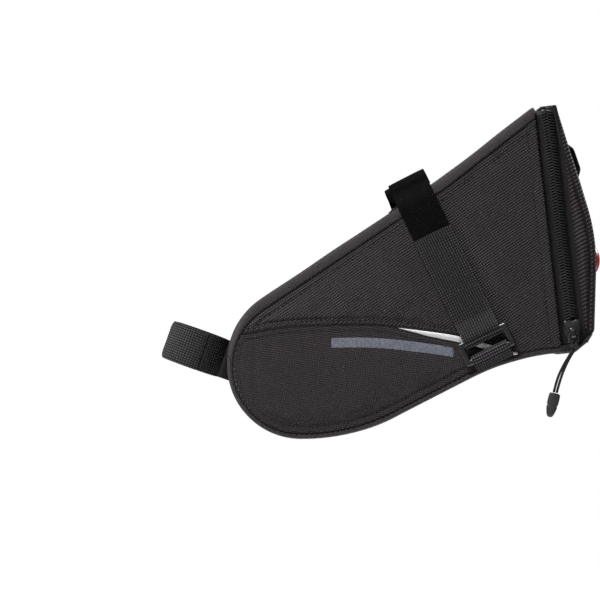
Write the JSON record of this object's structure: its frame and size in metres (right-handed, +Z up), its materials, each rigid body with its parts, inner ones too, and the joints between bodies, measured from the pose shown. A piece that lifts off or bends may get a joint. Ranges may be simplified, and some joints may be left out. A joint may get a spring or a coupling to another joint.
{
  "type": "saddle bag",
  "caption": "Wedge-shaped bag with a zipped, hinged rear lid, webbing straps for the saddle rails and a hook-and-loop strap for the seatpost.",
  "frame": {"origin": "midway between the two saddle rails, at the middle of the rail straps' width", "axes": "+X towards the bike's rear, +Y to the bike's right, +Z up"},
  "size_m": [0.2282, 0.0912, 0.1704],
  "materials": {
    "upper_weave": "satin",
    "lower_weave": "matt",
    "wrap_fabric": "satin",
    "reflective": "satin",
    "ribbed_fabric": "matt",
    "webbing": "matt",
    "zip_tape": "matt",
    "zip_coil": "satin",
    "slider_metal": "gloss",
    "cord": "matt",
    "tip_rubber": "matt",
    "buckle_plastic": "satin",
    "badge_red": "gloss",
    "badge_black": "matt",
    "foam": "matt",
    "lining": "satin",
    "board": "matt"
  },
  "bodies": {
    "bag": {"base_board": "board", "belly_panel": "wrap_fabric", "body_zip_coil": "zip_coil", "body_zip_tape": "zip_tape", "hinge_strip": "wrap_fabric", "left_buckle": "buckle_plastic", "left_buckle_tab": "webbing", "left_lower_side_panel": "lower_weave", "left_rail_strap": "webbing", "left_reflective_wedge": "reflective", "left_side_foam": "foam", "left_side_lining": "lining", "left_strap_anchor": "webbing", "left_upper_side_panel": "upper_weave", "left_zip_end_tab": "zip_tape", "post_strap_anchor": "webbing", "post_strap_inner": "webbing", "post_strap_outer": "webbing", "right_buckle": "buckle_plastic", "right_buckle_tab": "webbing", "right_lower_side_panel": "lower_weave", "right_rail_strap": "webbing", "right_reflective_wedge": "reflective", "right_side_foam": "foam", "right_side_lining": "lining", "right_strap_anchor": "webbing", "right_upper_side_panel": "upper_weave", "right_zip_end_tab": "zip_tape", "top_panel": "wrap_fabric"},
    "lid": {"badge_base": "badge_black", "badge_dome": "badge_red", "hinge_flap": "wrap_fabric", "left_lid_gusset": "ribbed_fabric", "lid_back_panel": "ribbed_fabric", "lid_foam": "foam", "lid_zip_coil": "zip_coil", "lid_zip_tape": "zip_tape", "light_loop": "webbing", "right_lid_gusset": "ribbed_fabric"},
    "slider": {"zip_slider": "slider_metal"},
    "pull": {"pull_cord": "cord", "cord_knot": "cord", "pull_tip": "tip_rubber"},
    "left_tail": {"left_strap_tail": "webbing"},
    "right_tail": {"right_strap_tail": "webbing"},
    "post_tail": {"post_strap_tail": "webbing"}
  },
  "joints": [
    {"name": "lid_hinge", "type": "hinge", "parent": "bag", "child": "lid", "pos_m": [0.0828, 0, -0.0846], "axis": [0, 1, 0], "range_deg": [0, 100]},
    {"name": "zip_slide", "type": "slide", "parent": "bag", "child": "slider", "axis": [-0.1132, 0, 0.9936], "range_m": [0, 0.08]},
    {"name": "pull_swing", "type": "hinge", "parent": "slider", "child": "pull", "pos_m": [0.08177, -0.0443, -0.07556], "axis": [-0.9936, 0, -0.1132], "range_deg": [0, 135]},
    {"name": "left_tail_peel", "type": "hinge", "parent": "bag", "child": "left_tail", "pos_m": [0.03578, -0.04332, -0.07656], "axis": [0.8919, -0.1066, 0.4395], "range_deg": [0, 170]},
    {"name": "right_tail_peel", "type": "hinge", "parent": "bag", "child": "right_tail", "pos_m": [0.03578, 0.04332, -0.07656], "axis": [-0.8919, -0.1066, -0.4395], "range_deg": [0, 170]},
    {"name": "post_tail_peel", "type": "hinge", "parent": "bag", "child": "post_tail", "pos_m": [-0.10605, -0.01511, -0.08565], "axis": [0.3354, 0, 0.9421], "range_deg": [0, 110]}
  ]
}
